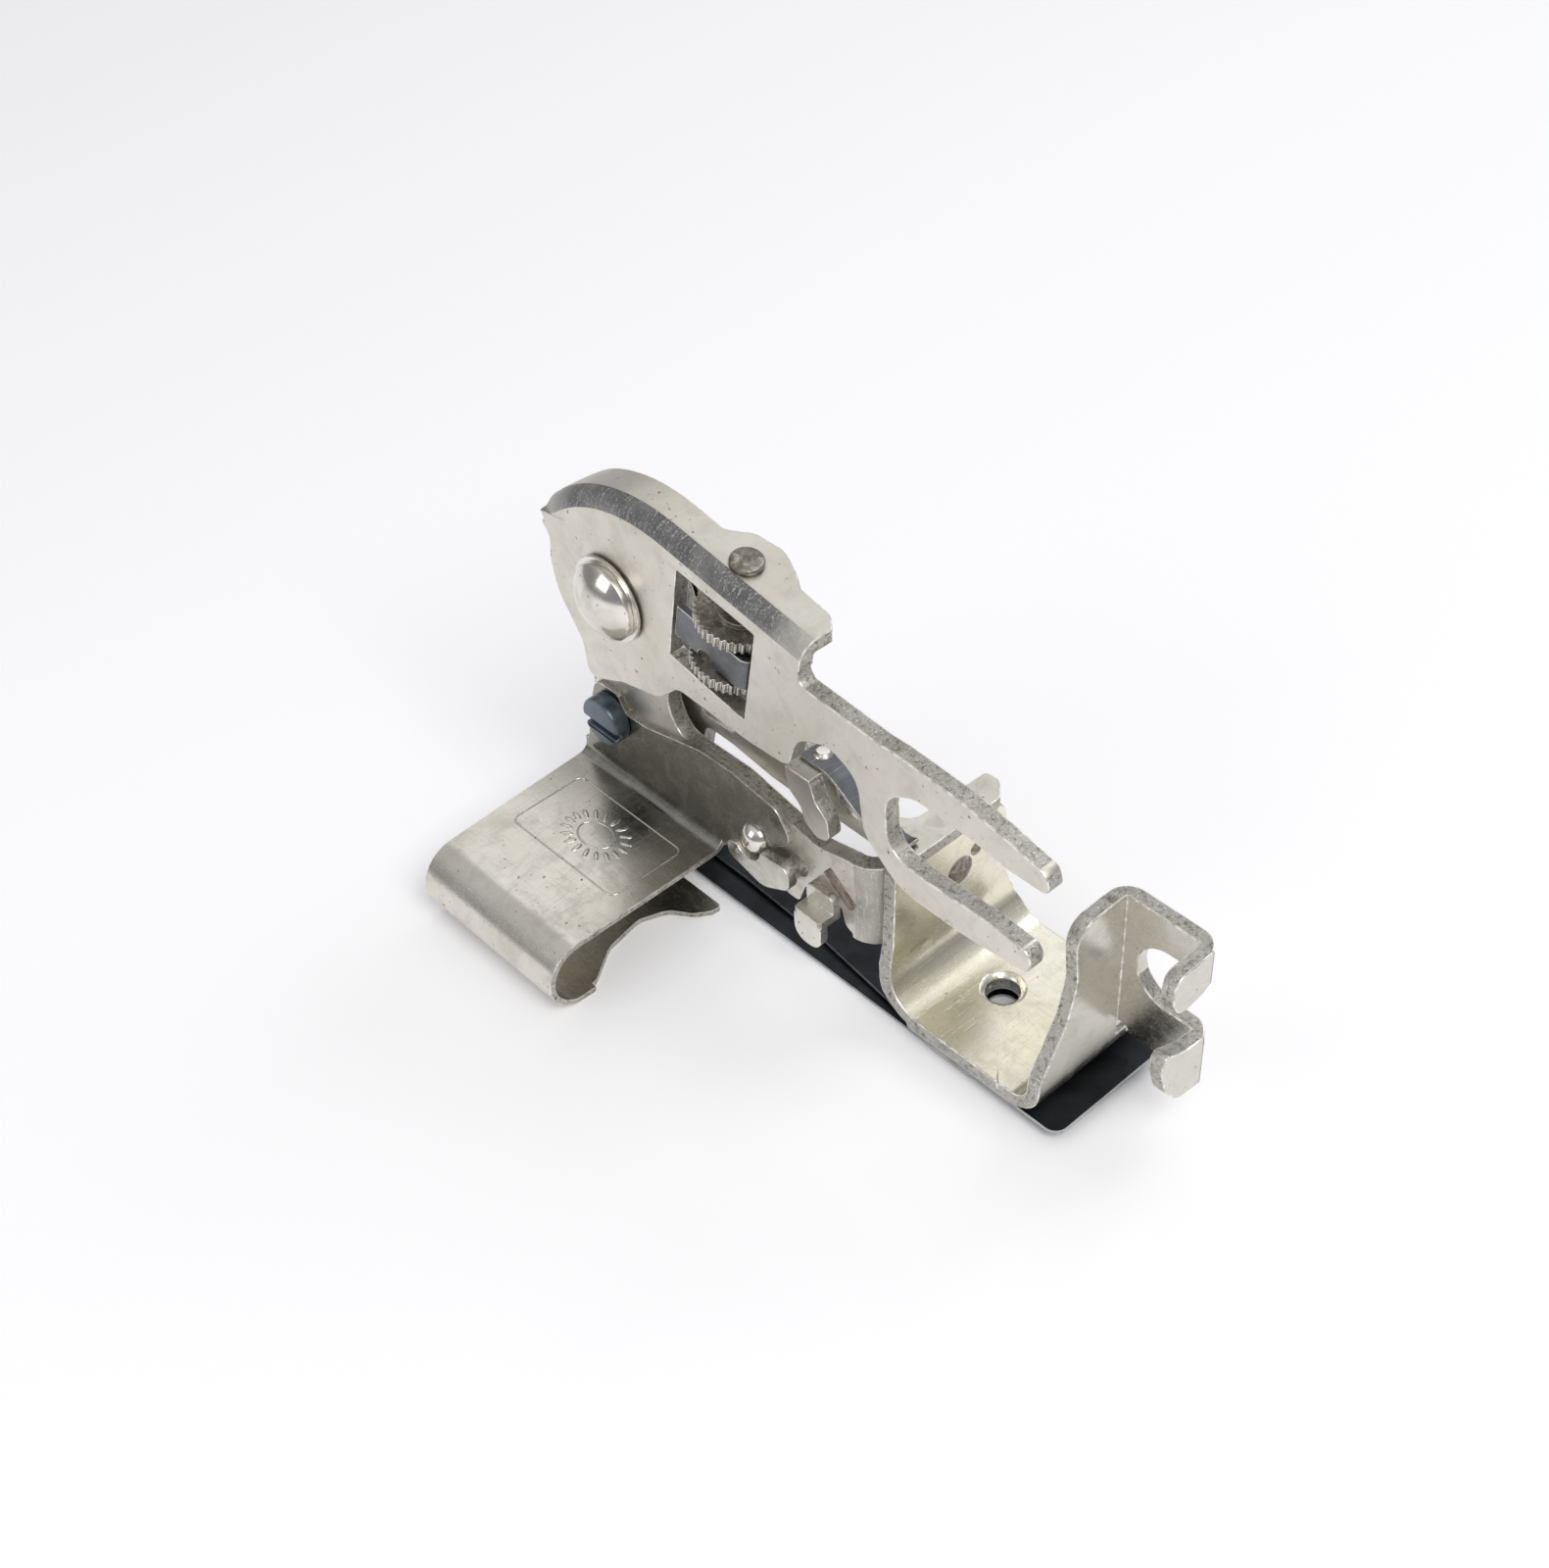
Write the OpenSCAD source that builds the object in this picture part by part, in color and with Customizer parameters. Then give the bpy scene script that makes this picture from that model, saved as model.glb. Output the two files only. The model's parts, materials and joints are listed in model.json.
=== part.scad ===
// Ruffler attachment for a low-shank sewing machine, units mm.
// X is the operator's right, Y runs towards the back of the machine, Z is up.
// The origin is the needle axis at bed level.

/* [Foot and shank] */
// thickness of the presser foot strip
foot_t = 1.2; // [1.0:0.1:1.3]
// half width of the foot
foot_half_w = 7.1; // [6.7:0.1:7.2]
// underside of the foot above the bed
foot_z = 1.2; // [1.2:0.1:1.3]
// needle hole radius
needle_r = 1.3; // [0.9:0.1:1.4]
// radius of the thumb-screw notch
notch_r = 2.8; // [2.4:0.1:2.9]
// height of the notch centre, the low-shank standard
notch_z = 12.7; // [12.4:0.1:12.9]
// top of the shank walls
shank_top = 18.6; // [18.0:0.1:19.5]

/* [Frame] */
// inner face of the frame plate
frame_x = 5.2; // [5.2:0.1:5.3]
// frame plate thickness
frame_t = 1.4; // [1.2:0.1:1.4]

/* [Cloth guide] */
// guide sheet thickness
guide_t = 0.5; // [0.4:0.1:0.6]
// height of the guide's top plate
guide_top = 6.2; // [6.0:0.1:6.5]
// outermost reach of the curl
curl_x = 25; // [23:0.5:27]
// front end of the guide
guide_y0 = -40.5; // [-42:0.5:-40]
// rear end of the guide
guide_y1 = -23.7; // [-24.5:0.1:-23]

/* [Fork lever] */
// inner face of the lever
lever_x = 7.5; // [7.5:0.1:7.7]
// lever thickness
lever_t = 1.4; // [1.2:0.1:1.5]
// bend radius of the top flange
flange_r = 1.6; // [1.4:0.1:1.8]
// stud radius in the pivot
stud_r = 2.0; // [1.6:0.1:2.4]
// radial running clearance at the pivots
run_gap = 0.05; // [0.02:0.01:0.1]

/* [Stroke adjuster] */
// regulating screw radius
screw_r = 1.2; // [1.0:0.1:1.3]
// knurled disc radius
disc_r = 3.5; // [3.2:0.1:3.6]
// teeth round each knurled disc
disc_teeth = 40; // [24:2:48]

/* [Blades] */
// blade steel thickness
blade_t = 0.25; // [0.2:0.05:0.3]
// spacing of the ruffling teeth
tooth_pitch = 0.9; // [0.8:0.1:1.2]

/* [Hidden] */
$fn = 48;
eps = 0.01;
pivot = [-32.2, 27.6];
frame_out = frame_x + frame_t;
lever_out = lever_x + lever_t;
carrier_x = 3.2;
carrier_t = 1.4;
sole_t = 0.3;
lug_y = 17.7;
slope = -11;
win = [-23.8, 35.7];
flange_t = 1.4;
flange_off = 1.35;
screw_x = 6.3;
screw_along = 4.3;
blade_z = 0.45;

// an outline with rounded corners: each entry is [a, b, corner radius]
function corner(a, p, b, r) =
    let (u = a - p, v = b - p, lu = norm(u), lv = norm(v))
    let (h = acos(max(-1, min(1, (u * v) / (lu * lv)))) / 2)
    let (d = min(r / tan(h), 0.49 * lu, 0.49 * lv), rr = d * tan(h))
    let (m = u / lu + v / lv, c = p + m / norm(m) * rr / sin(h))
    let (s = p + u / lu * d, e = p + v / lv * d)
    let (a0 = atan2(s[1] - c[1], s[0] - c[0]), a1 = atan2(e[1] - c[1], e[0] - c[0]))
    let (raw = a1 - a0, da = raw > 180 ? raw - 360 : raw < -180 ? raw + 360 : raw)
    let (n = max(2, ceil(abs(da) / 14)))
    [for (i = [0 : n]) c + rr * [cos(a0 + da * i / n), sin(a0 + da * i / n)]];
function soft(v) = let (n = len(v))
    [for (i = [0 : n - 1])
        let (p = v[i], a = v[(i + n - 1) % n], b = v[(i + 1) % n])
        each (p[2] > 0 ? corner([a[0], a[1]], [p[0], p[1]], [b[0], b[1]], p[2]) : [[p[0], p[1]]])];

// a drawn sheet outline in Y and Z, standing at x and t thick towards +X
module sheet_x(x, t) translate([x, 0, 0]) rotate([90, 0, 90]) linear_extrude(t) children();
// a drawn outline in X and Z, standing at y and t thick towards +Y
module sheet_y(y, t) translate([0, y + t, 0]) rotate([90, 0, 0]) linear_extrude(t) children();
// a drawn outline in X and Y, lying at z and t thick upwards
module sheet_z(z, t) translate([0, 0, z]) linear_extrude(t) children();
// a cylinder along X at a point in Y and Z
module bar_x(x0, x1, p, r) translate([x0, p[0], p[1]]) rotate([0, 90, 0]) cylinder(r = r, h = x1 - x0);
// a cylinder along Y
module bar_y(y0, y1, x, z, r) translate([x, y1, z]) rotate([90, 0, 0]) cylinder(r = r, h = y1 - y0);
// a domed button whose flat side is at x = 0, facing +X
module dome(r, h) {
    R = (r * r + h * h) / (2 * h);
    a0 = asin(min(1, r / R));
    rotate([0, 90, 0]) rotate_extrude($fn = 64)
        polygon(concat([[0, 0]], [for (i = [0 : 6]) let (a = a0 * (1 - i / 6)) [R * sin(a), R * cos(a) - R + h]]));
}

// ---- foot, shank and sole ----

module foot_profile() {
    t = foot_t;
    z0 = foot_z;
    ri = 1.6;
    // the front wall rises in a wide bend, the rear one in a tight bend
    rf = 3.8;
    polygon(soft([[-6.9, z0, rf + t], [10, z0, ri + t], [10, shank_top, 0], [10 - t, shank_top, 0],
        [10 - t, z0 + t, ri], [-6.9 + t, z0 + t, rf], [-6.9 + t, 14.3, 0], [-6.9, 14.3, 0]]));
}

// takes the square corner off a bend of the shank's side wall
module outer_corner(y, side) translate([-1.35 - foot_t, y, 0]) mirror([0, side < 0 ? 1 : 0, 0]) difference() {
    translate([-1, -1, 0]) cube([2.8, 2.8, 30]);
    translate([1.8, 1.8, -1]) cylinder(r = 1.8, h = 32);
}

module presser_foot() {
    w = foot_half_w;
    difference() {
        union() {
            intersection() {
                translate([-w, 0, 0]) rotate([90, 0, 90]) linear_extrude(2 * w) foot_profile();
                union() {
                    // front wall outline, seen from behind
                    sheet_y(-7.5, 5.5)
                        polygon(soft([[w, 0, 0], [w, 3.4, 2], [6.0, 6.6, 3], [5.6, 14.3, 0.6],
                            [-6.3, 14.3, 1.6], [-6.2, 7.5, 3], [-w, 3.8, 2], [-w, 0, 0]]));
                    // flat
                    translate([-w, -2.01, 0]) cube([2 * w, 8.02, 5]);
                    // shank wall outline
                    sheet_y(6, 5)
                        polygon(soft([[w, 0, 0], [w - 0.1, 5.0, 2.5], [4.3, 9.8, 3], [3.4, 13.0, 3],
                            [3.8, 18.6, 1.9], [-2.55, 18.6, 0], [-2.55, 3.2, 0.5], [-5.2, 3.0, 1.2],
                            [-w, 2.0, 0.6], [-w, 0, 0]]));
                }
            }
            // side wall that takes the thumb screw
            difference() {
                sheet_x(-1.35 - foot_t, foot_t)
                    polygon(soft([[8.8, 5.0, 0], [lug_y, 5.0, 0], [lug_y, shank_top, 0], [8.8, shank_top, 0]]));
                outer_corner(lug_y, -1);
            }
            // lugs turned in at the open end of the notch
            sheet_y(lug_y - foot_t, foot_t)
                polygon(soft([[-1.36, 15.5, 0], [-0.6, 15.0, 0.6], [1.0, 14.7, 0.8], [2.1, 15.0, 0.9],
                    [2.65, 16.2, 0.8], [2.6, shank_top, 1.1], [-1.36, shank_top, 0]]));
            sheet_y(lug_y - foot_t, foot_t)
                polygon(soft([[-1.36, 5.0, 0], [1.2, 5.3, 1.0], [2.6, 7.2, 1.0], [3.2, 9.4, 1.0],
                    [3.1, 11.3, 0.7], [1.7, 10.6, 0.8], [0.4, 10.1, 0.8], [-1.36, 9.9, 0]]));
        }
        translate([0, 0, 5.0]) outer_corner(8.8, 1);
        // thumb-screw notch, open to the rear
        bar_x(-3, -1.2, [14.1, notch_z], notch_r);
        translate([-3, 14.1, notch_z - notch_r]) cube([1.66, 6, 2 * notch_r]);
        // corner relief
        bar_x(-3, -1.3, [10.3, 4.9], 0.8);
        // needle hole with its countersink
        translate([0, 0, foot_z - 1]) cylinder(r = needle_r, h = 4);
        translate([0, 0, foot_z + foot_t - 0.35]) cylinder(r1 = needle_r, r2 = needle_r + 0.46, h = 0.351, $fn = 64);
        // rivet holes in the front wall
        bar_y(-8, -5, -1.15, 10.2, 1.1);
        bar_y(-8, -5, -2.9, 11.3, 0.45);
    }
}

module sole_plate() {
    difference() {
        sheet_z(foot_z - sole_t, sole_t)
            polygon(soft([[7.0, -4.0, 1], [7.0, 11.8, 1.1], [-4.7, 11.8, 1.0], [-4.7, -4.0, 1]]));
        translate([0, 0, -1]) cylinder(r = needle_r, h = 4);
    }
}

// ---- frame ----

module frame_outline()
    polygon(soft([
        [-38.8, 0.26, 0.2], [-33.4, 0.26, 0.2], [-33.4, 5.4, 1.0], [-27.0, 6.6, 2], [-17.2, 7.0, 1],
        [-17.0, 5.6, 0.6], [-15.4, 5.6, 0.6], [-14.6, 7.8, 0.8], [-12.6, 8.6, 0.8], [-10.7, 8.4, 0.7],
        [-10.2, 6.6, 0.8], [-8.4, 5.9, 0.5], [-5.7, 5.9, 0], [-5.7, 13.9, 0], [-9.6, 13.9, 1.5],
        [-13.0, 13.1, 2], [-16.5, 13.7, 2], [-21.5, 14.7, 2], [-28.3, 14.6, 1.6], [-29.9, 17.2, 3],
        [-27.4, 22.6, 3], [-26.4, 28.5, 4.5], [-29.0, 32.8, 4.5], [-35.4, 32.8, 4.5], [-38.0, 27.0, 4.5],
        [-37.0, 21.0, 3], [-39.0, 15.5, 2], [-39.4, 8.0, 1]]));

module frame_plate() {
    t = frame_t;
    ro = 2.6;
    yb = -6.9;
    difference() {
        union() {
            intersection() {
                sheet_x(frame_x, t) frame_outline();
                translate([0, -60, -1]) cube([20, 60 + yb - ro + 0.001, 60]);
            }
            // bend and the flange behind the foot's wall
            intersection() {
                translate([frame_out - ro, yb - ro, 5.9]) difference() {
                    cylinder(r = ro, h = 8, $fn = 64);
                    translate([0, 0, -1]) cylinder(r = ro - t, h = 10, $fn = 64);
                }
                translate([frame_out - ro, yb - ro, 0]) cube([10, 10, 30]);
            }
            sheet_y(yb - t, t)
                polygon(soft([[frame_out - ro, 5.9, 0], [-5.6, 5.9, 1.2], [-5.9, 13.9, 1.4],
                    [frame_out - ro, 13.9, 0]]));
        }
        bar_x(0, 9, pivot, stud_r);
        bar_x(0, 9, [-36.2, 12.5], 1.3);
        bar_x(0, 9, [-19.6, 9.9], 0.9);
        bar_x(0, 9, [-15.2, 9.6], 0.9);
        bar_x(0, 9, [-20.9, 8.3], 0.5);
        // slot for the staked tenon
        translate([0, -10.7, 10.2]) rotate([50, 0, 0]) translate([4, -0.6, -1.75]) cube([6, 1.2, 3.5]);
        bar_y(-9, -5, -1.15, 10.2, 1.1);
        bar_y(-9, -5, -2.9, 11.3, 0.45);
        for (y = [-37.4, -34.8]) bar_x(4, 8, [y, 3.0], 0.6);
    }
}

module staked_tenon() {
    translate([0, -10.7, 10.2]) rotate([50, 0, 0]) translate([frame_x - 0.1, -0.6, -1.75])
        cube([frame_t + 0.15, 1.2, 3.5]);
}

module foot_rivet(x, z, r, out) {
    // shank through both sheets with a low head on the rear side
    bar_y(-6.9 - frame_t, -5.7, x, z, r);
    translate([x, -5.7, z]) rotate([0, 0, 90]) dome(r + out, 0.25);
    translate([x, -6.9 - frame_t, z]) rotate([0, 0, -90]) dome(r + out, 0.5);
}
module foot_rivet_large() foot_rivet(-1.15, 10.2, 1.1, 0.25);
module foot_rivet_small() foot_rivet(-2.9, 11.3, 0.45, 0.15);

// ---- cloth guide ----

module guide_section() {
    t = guide_t;
    zt = guide_top;
    r = zt / 2;
    cx = curl_x - r;
    ri = 0.9;
    // wall, bend and top plate
    polygon(concat(
        [[frame_out, 16], [frame_out, zt - t + ri + t]],
        [for (a = [180 : 15 : 270]) [frame_out + ri + t, zt + ri] + (ri + t) * [cos(a), sin(a)]],
        [for (a = [90 : -10 : -90]) [cx, r] + (r - t) * [cos(a), sin(a)]],
        [[8.0, t], [8.0, 0]],
        [for (a = [-90 : 10 : 90]) [cx, r] + r * [cos(a), sin(a)]],
        [for (a = [270 : -15 : 180]) [frame_out + ri + t, zt + ri] + ri * [cos(a), sin(a)]],
        [[frame_out + t, 16]]));
}

module cloth_guide() {
    difference() {
        intersection() {
            translate([0, guide_y1 + 9, 0]) rotate([90, 0, 0]) linear_extrude(guide_y1 + 9 - guide_y0)
                guide_section();
            union() {
                // wall outline with its rounded tongue
                sheet_x(0, frame_out + guide_t + 0.001)
                    polygon(soft([[-40.4, 6.3, 0], [guide_y1, 6.3, 0], [-20.6, 9.0, 0], [-17.5, 10.3, 1.2],
                        [-15.3, 12.0, 1.2], [-17.0, 14.6, 1.2], [-22.0, 15.3, 3], [-25.6, 15.2, 2],
                        [-32.0, 13.6, 2], [-34.6, 13.4, 0.4], [-35.4, 15.0, 0.4], [-38.2, 15.0, 1.2],
                        [-39.0, 12.6, 1.5]]));
                // bend, top plate and curl
                sheet_z(3.2, guide_top - 3.2 + 1.41)
                    polygon([[0, guide_y1], [0, guide_y0], [8, guide_y0], [60, guide_y0 + 2.4], [60, guide_y1]]);
                sheet_z(-1, 9)
                    polygon([[curl_x - 4.2, guide_y1], [curl_x - 4.2, guide_y0 + 0.6], [60, guide_y0 + 2.4],
                        [60, guide_y1]]);
                // lower leaf with its scalloped edge
                sheet_z(-1, 4)
                    polygon(soft([[curl_x - 4, guide_y0 + 0.6, 0], [curl_x - 4, -24.2, 0], [20.4, -24.2, 1],
                        [17.4, -26.2, 2], [13.8, -26.9, 2], [11.4, -26.0, 2], [10.2, -24.2, 1],
                        [9.0, -23.4, 0.6], [8.0, -23.2, 0.4], [8.0, -37.5, 1.5], [12.0, -39.6, 2],
                        [16.0, guide_y0 + 0.4, 2]]));
            }
        }
        bar_x(0, 9, [-36.2, 12.5], 1.3);
        bar_x(0, 9, [-19.6, 9.9], 0.9);
    }
}

module guide_screw() {
    x0 = frame_out + guide_t;
    difference() {
        union() {
            bar_x(frame_x - 0.5, x0, [-36.2, 12.5], 1.3);
            bar_x(x0, x0 + 1.5, [-36.2, 12.5], 2.15);
        }
        translate([x0 + 0.8, -40, 12.5 - 0.9]) cube([2, 8, 0.6]);
    }
}

module guide_rivet() {
    x0 = frame_out + guide_t;
    bar_x(frame_x, x0, [-19.6, 9.9], 0.9);
    translate([x0, -19.6, 9.9]) dome(1.4, 1.0);
    translate([frame_x, -19.6, 9.9]) rotate([0, 180, 0]) dome(1.3, 0.3);
}

// ---- stops and small lugs on the frame ----

module stop_leaf() {
    difference() {
        sheet_x(frame_out + guide_t + 0.01, 0.9)
            polygon(soft([[-21.9, 7.5, 0.8], [-18.0, 6.4, 2], [-14.9, 8.0, 1.0], [-14.9, 10.2, 1.0], [-17.6, 9.9, 1],
                [-20.6, 9.2, 0.5], [-21.9, 8.9, 0.6]]));
        // clears the dome of the guide rivet
        bar_x(0, 12, [-19.6, 9.9], 1.46);
        bar_x(0, 12, [-20.9, 8.3], 0.35);
    }
    // spacer boss under the leaf
    bar_x(frame_out, frame_out + guide_t + 0.01, [-15.9, 9.0], 0.9);
}

module leaf_pin() {
    bar_x(frame_x, frame_out + guide_t + 0.01 + 0.9, [-20.9, 8.3], 0.35);
    translate([frame_out + guide_t + 0.91, -20.9, 8.3]) dome(0.35, 0.2);
}

module hem_lug() {
    // offset lug hung below the frame plate
    x1 = frame_out + 2.2;
    sheet_x(frame_out, 0.8) polygon(soft([[-13.6, 7.2, 0], [-10.7, 7.2, 0], [-10.7, 9.6, 0.6], [-13.6, 9.6, 0.6]]));
    sheet_z(7.2, 0.8)
        polygon(soft([[frame_out, -13.6, 0], [x1, -13.6, 0.3], [x1, -10.7, 0.3], [frame_out, -10.7, 0]]));
    sheet_x(x1 - 0.8, 0.8)
        polygon(soft([[-13.6, 4.9, 1.3], [-10.7, 4.9, 1.3], [-10.7, 7.4, 0], [-13.6, 7.4, 0]]));
}

// ---- blades ----

module separator_blade() {
    difference() {
        union() {
            sheet_z(0, blade_t)
                polygon(soft([[6.6, -38.6, 0.5], [6.6, 2.4, 0.3], [4.4, 4.0, 0.3], [-4.6, 4.0, 0.8], [-5.0, -12, 3],
                    [-2.0, -30, 3], [-2.0, -38.6, 1]]));
            // upturned tab riveted to the frame's leg
            sheet_x(frame_x - blade_t, blade_t)
                polygon(soft([[-38.6, 0, 0], [-33.6, 0, 0], [-33.6, 4.6, 0.8], [-38.6, 4.6, 0.8]]));
        }
        translate([0, 0, -1]) cylinder(r = needle_r, h = 3);
        for (y = [-37.4, -34.8]) bar_x(4, 8, [y, 3.0], 0.6);
    }
}

module separator_rivet(y) {
    bar_x(frame_x - blade_t, frame_out, [y, 3.0], 0.6);
    translate([frame_out, y, 3.0]) dome(1.0, 0.5);
}

function teeth(x0, x1, y, n) = [for (i = [0 : n - 1]) each [
    [x0 + (x1 - x0) * i / n, y - 0.7], [x0 + (x1 - x0) * (i + 0.5) / n, y]]];

module ruffling_blade() {
    n = floor(4.9 / tooth_pitch);
    difference() {
        sheet_z(blade_z, blade_t)
            polygon(concat(
                [[4.5, -35.4], [4.6, -24], [5.0, -14.6], [5.9, -6.6], [6.9, -1.0], [6.9, 2.9]],
                teeth(6.9, 1.9, 3.6, n),
                [[1.9, 2.9], [1.9, -4.2], [1.3, -5.2], [0, -5.6], [-1.3, -5.2], [-1.9, -4.2], [-1.9, 2.9]],
                teeth(-1.9, -4.7, 3.6, 3),
                [[-4.7, 2.9], [-4.7, -8], [-3.6, -14], [-1.2, -30], [-1.2, -34.6], [-0.4, -35.4]]));
        translate([1.2, -32.2, 0]) cylinder(r = 0.6, h = 2);
    }
}

module blade_rivet() {
    // neck free in the carrier's foot, so the blade can lie flat while the carrier tips
    translate([1.2, -32.2, blade_z]) cylinder(r = 0.6, h = 2.2);
    translate([1.2, -32.2, blade_z + 2.2]) cylinder(r1 = 1.5, r2 = 1.0, h = 0.5, $fn = 64);
}

// ---- pivot ----

module pivot_stud() {
    bar_x(carrier_x - 0.3, lever_out + 0.5, pivot, stud_r);
    bar_x(lever_out + 0.5, lever_out + 1.0, pivot, 3.2);
    translate([lever_out + 1.0, pivot[0], pivot[1]]) dome(3.2, 1.4);
    // riveted-over end
    translate([carrier_x - 0.3, pivot[0], pivot[1]]) rotate([0, 180, 0]) dome(3.0, 0.8);
}

module ring_x(x0, x1, ri, ro) difference() {
    bar_x(x0, x1, pivot, ro);
    bar_x(x0 - 1, x1 + 1, pivot, ri);
}
module stud_washer() ring_x(lever_out + 0.2, lever_out + 0.5, stud_r, 3.6);
module spacer_washer() ring_x(frame_out, lever_x - 0.2, stud_r, 3.6);
module inner_washer() ring_x(carrier_x + carrier_t + 0.2, frame_x, stud_r, 3.4);

// ---- fork lever with its regulating screw ----

// the folded top follows an arc at the nose and then a straight run
fold_r = 16.4;
fold_c = [-28.25, 20.95];
fold_a = 79.98;
fold_run = 14.45;
function fold_pt(r) = fold_c + r * [cos(fold_a), sin(fold_a)];

module fold_wedge() polygon([fold_c, fold_c + 30 * [cos(fold_a), sin(fold_a)],
    fold_c + 40 * [cos(110), sin(110)], fold_c + 30 * [cos(138), sin(138)]]);

module lever_outline() {
    difference() {
        union() {
            polygon(concat([[-40.2, 31.8], fold_c + (fold_r - 3) * [cos(120), sin(120)],
                fold_c + (fold_r - 3) * [cos(100), sin(100)], fold_pt(fold_r - 2)],
                [fold_pt(fold_r - 2) + 14.2 * [sin(fold_a), -cos(fold_a)]],
                soft([[-11.6, 33.0, 0], [-11.85, 31.15, 1.2], [-9.0, 30.9, 2], [-3.9, 30.5, 2], [-2.2, 30.55, 0.6],
                [3.6, 30.2, 3], [7.6, 29.5, 3], [11.4, 28.6, 1.1], [11.7, 26.9, 0.6], [8.2, 26.85, 2],
                [4.6, 27.35, 5], [-0.6, 27.6, 3.4], [-3.35, 26.0, 2.4], [-3.2, 21.0, 2.2], [0.4, 20.6, 4],
                [6.4, 20.8, 5], [10.4, 20.4, 1.2], [10.1, 18.4, 0.8], [3.9, 17.85, 5], [-2.0, 17.9, 4],
                [-5.6, 21.0, 3], [-6.1, 25.9, 2.4], [-8.9, 27.1, 1.8], [-12.1, 25.8, 2.4], [-13.2, 22.5, 1.2],
                [-17.5, 22.3, 4], [-25.2, 22.7, 1.4], [-27.6, 20.4, 2.5], [-32.0, 19.4, 2.5],
                [-36.3, 17.4, 0.9], [-36.6, 20.9, 2.5], [-39.0, 24.6, 3], [-39.4, 27.4, 1.5], [-39.1, 29.8, 1.5],
                [-40.2, 31.0, 0.3]])));
            intersection() {
                translate(fold_c) circle(r = fold_r - 2, $fn = 128);
                fold_wedge();
            }
        }
        // window for the knurled nut
        translate(win) rotate(slope) translate([0, -10.1]) square([8.1, 10.1]);
    }
}

// section of the fold: x outwards from fold_c, y along X
module fold_section() polygon(concat(
    [[fold_r - flange_t, 2], [fold_r, 2]],
    [for (a = [0 : 10 : 90]) [fold_r - flange_r, lever_out - flange_r] + flange_r * [cos(a), sin(a)]],
    [[fold_r - flange_r - 0.8, lever_out], [fold_r - flange_r - 0.8, lever_x], [fold_r - flange_t, lever_x]]));

module folded_top() {
    translate([0, fold_c[0], fold_c[1]]) rotate([0, 90, 0]) rotate([0, 0, fold_a + 90])
        rotate_extrude(angle = 57.5, $fn = 128) fold_section();
    translate([0, fold_c[0], fold_c[1]]) rotate([fold_a - 90, 0, 0]) rotate([90, 0, 0]) rotate([0, 0, 90])
        translate([0, 0, -fold_run]) linear_extrude(fold_run) mirror([0, 1]) fold_section();
}

module fork_lever() {
    s = screw_pos(0);
    difference() {
        union() {
            sheet_x(lever_x, lever_t) lever_outline();
            intersection() {
                folded_top();
                // plan of the folded top
                sheet_z(25, 20)
                    polygon(soft([[lever_out, -41, 0], [lever_out, -10.75, 0], [7.2, -10.72, 0.4], [6.0, -11.1, 0.8],
                        [5.1, -12.2, 1.2], [5.0, -15.3, 0.25], [4.3, -16.3, 1.2], [3.3, -18.6, 2.2],
                        [3.7, -21.2, 1.8], [5.2, -22.9, 1.2], [5.1, -28.0, 4], [4.9, -36.4, 2.4],
                        [lever_x + 0.1, -38.6, 0.6], [lever_x + 0.1, -41, 0]]));
            }
        }
        bar_x(0, 20, pivot, stud_r + run_gap);
        translate([screw_x, s[0], s[1]]) rotate([slope, 0, 0]) translate([0, 0, -6]) cylinder(r = screw_r, h = 12);
    }
}

// a point on the screw's axis, k below the top of the fold
function screw_pos(k) = win + [cos(slope), sin(slope)] * screw_along + [-sin(slope), cos(slope)] * (flange_off - k);

module on_screw(k) {
    s = screw_pos(k);
    translate([screw_x, s[0], s[1]]) rotate([slope, 0, 0]) children();
}

module regulating_screw() {
    // threaded length shown as fine steps between crest and root
    on_screw(0) {
        cylinder(r1 = 1.3, r2 = 1.15, h = 0.35, $fn = 64);
        translate([0, 0, -1.6]) cylinder(r = screw_r, h = 1.6 + eps);
        translate([0, 0, -12.8]) cylinder(r = screw_r - 0.18, h = 11.4);
        for (i = [0 : 17]) translate([0, 0, -12.7 + i * 0.62]) cylinder(r = screw_r, h = 0.31);
    }
}

module knurled_disc(h) {
    difference() {
        cylinder(r = disc_r, h = h);
        for (i = [0 : disc_teeth - 1]) rotate(i * 360 / disc_teeth) translate([disc_r + 0.02, 0, -1])
            rotate(45) cube([0.34, 0.34, 2 * (h + 2)], center = true);
    }
}

module regulating_nut() {
    on_screw(10.1) difference() {
        union() {
            knurled_disc(0.9);
            translate([0, 0, 4.4]) knurled_disc(0.9);
            translate([0, 0, 0.5]) cylinder(r = 1.65, h = 4.5);
            translate([0, 0, 5.2]) cylinder(r = 1.95, h = 0.5);
        }
        translate([0, 0, -1]) cylinder(r = screw_r + run_gap, h = 10);
    }
}

module stop_block() {
    // clip that rides between the two knurled discs and is kept square by the window
    on_screw(8.95) {
        intersection() {
            difference() {
                linear_extrude(2.95) polygon(soft([[-3.4, -3.95, 0.3], [2.6, -3.95, 0], [2.6, 3.5, 0.9],
                    [-3.4, 3.5, 0.9]]));
                translate([0, 0, -1]) linear_extrude(6) polygon(soft([[-2.6, -5, 0], [1.95, -5, 0], [1.95, 2.8, 0.4],
                    [-2.6, 2.8, 0.4]]));
                // arch over the lower disc
                translate([0, -0.7, 0]) rotate([0, 90, 0]) cylinder(r = 0.8, h = 5);
            }
            union() {
                translate([0, -6, -1]) cube([6, 12, 6]);
                translate([-6, -1.0, -1]) cube([12, 8, 6]);
            }
        }
    }
}

// ---- blade carrier ----

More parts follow.
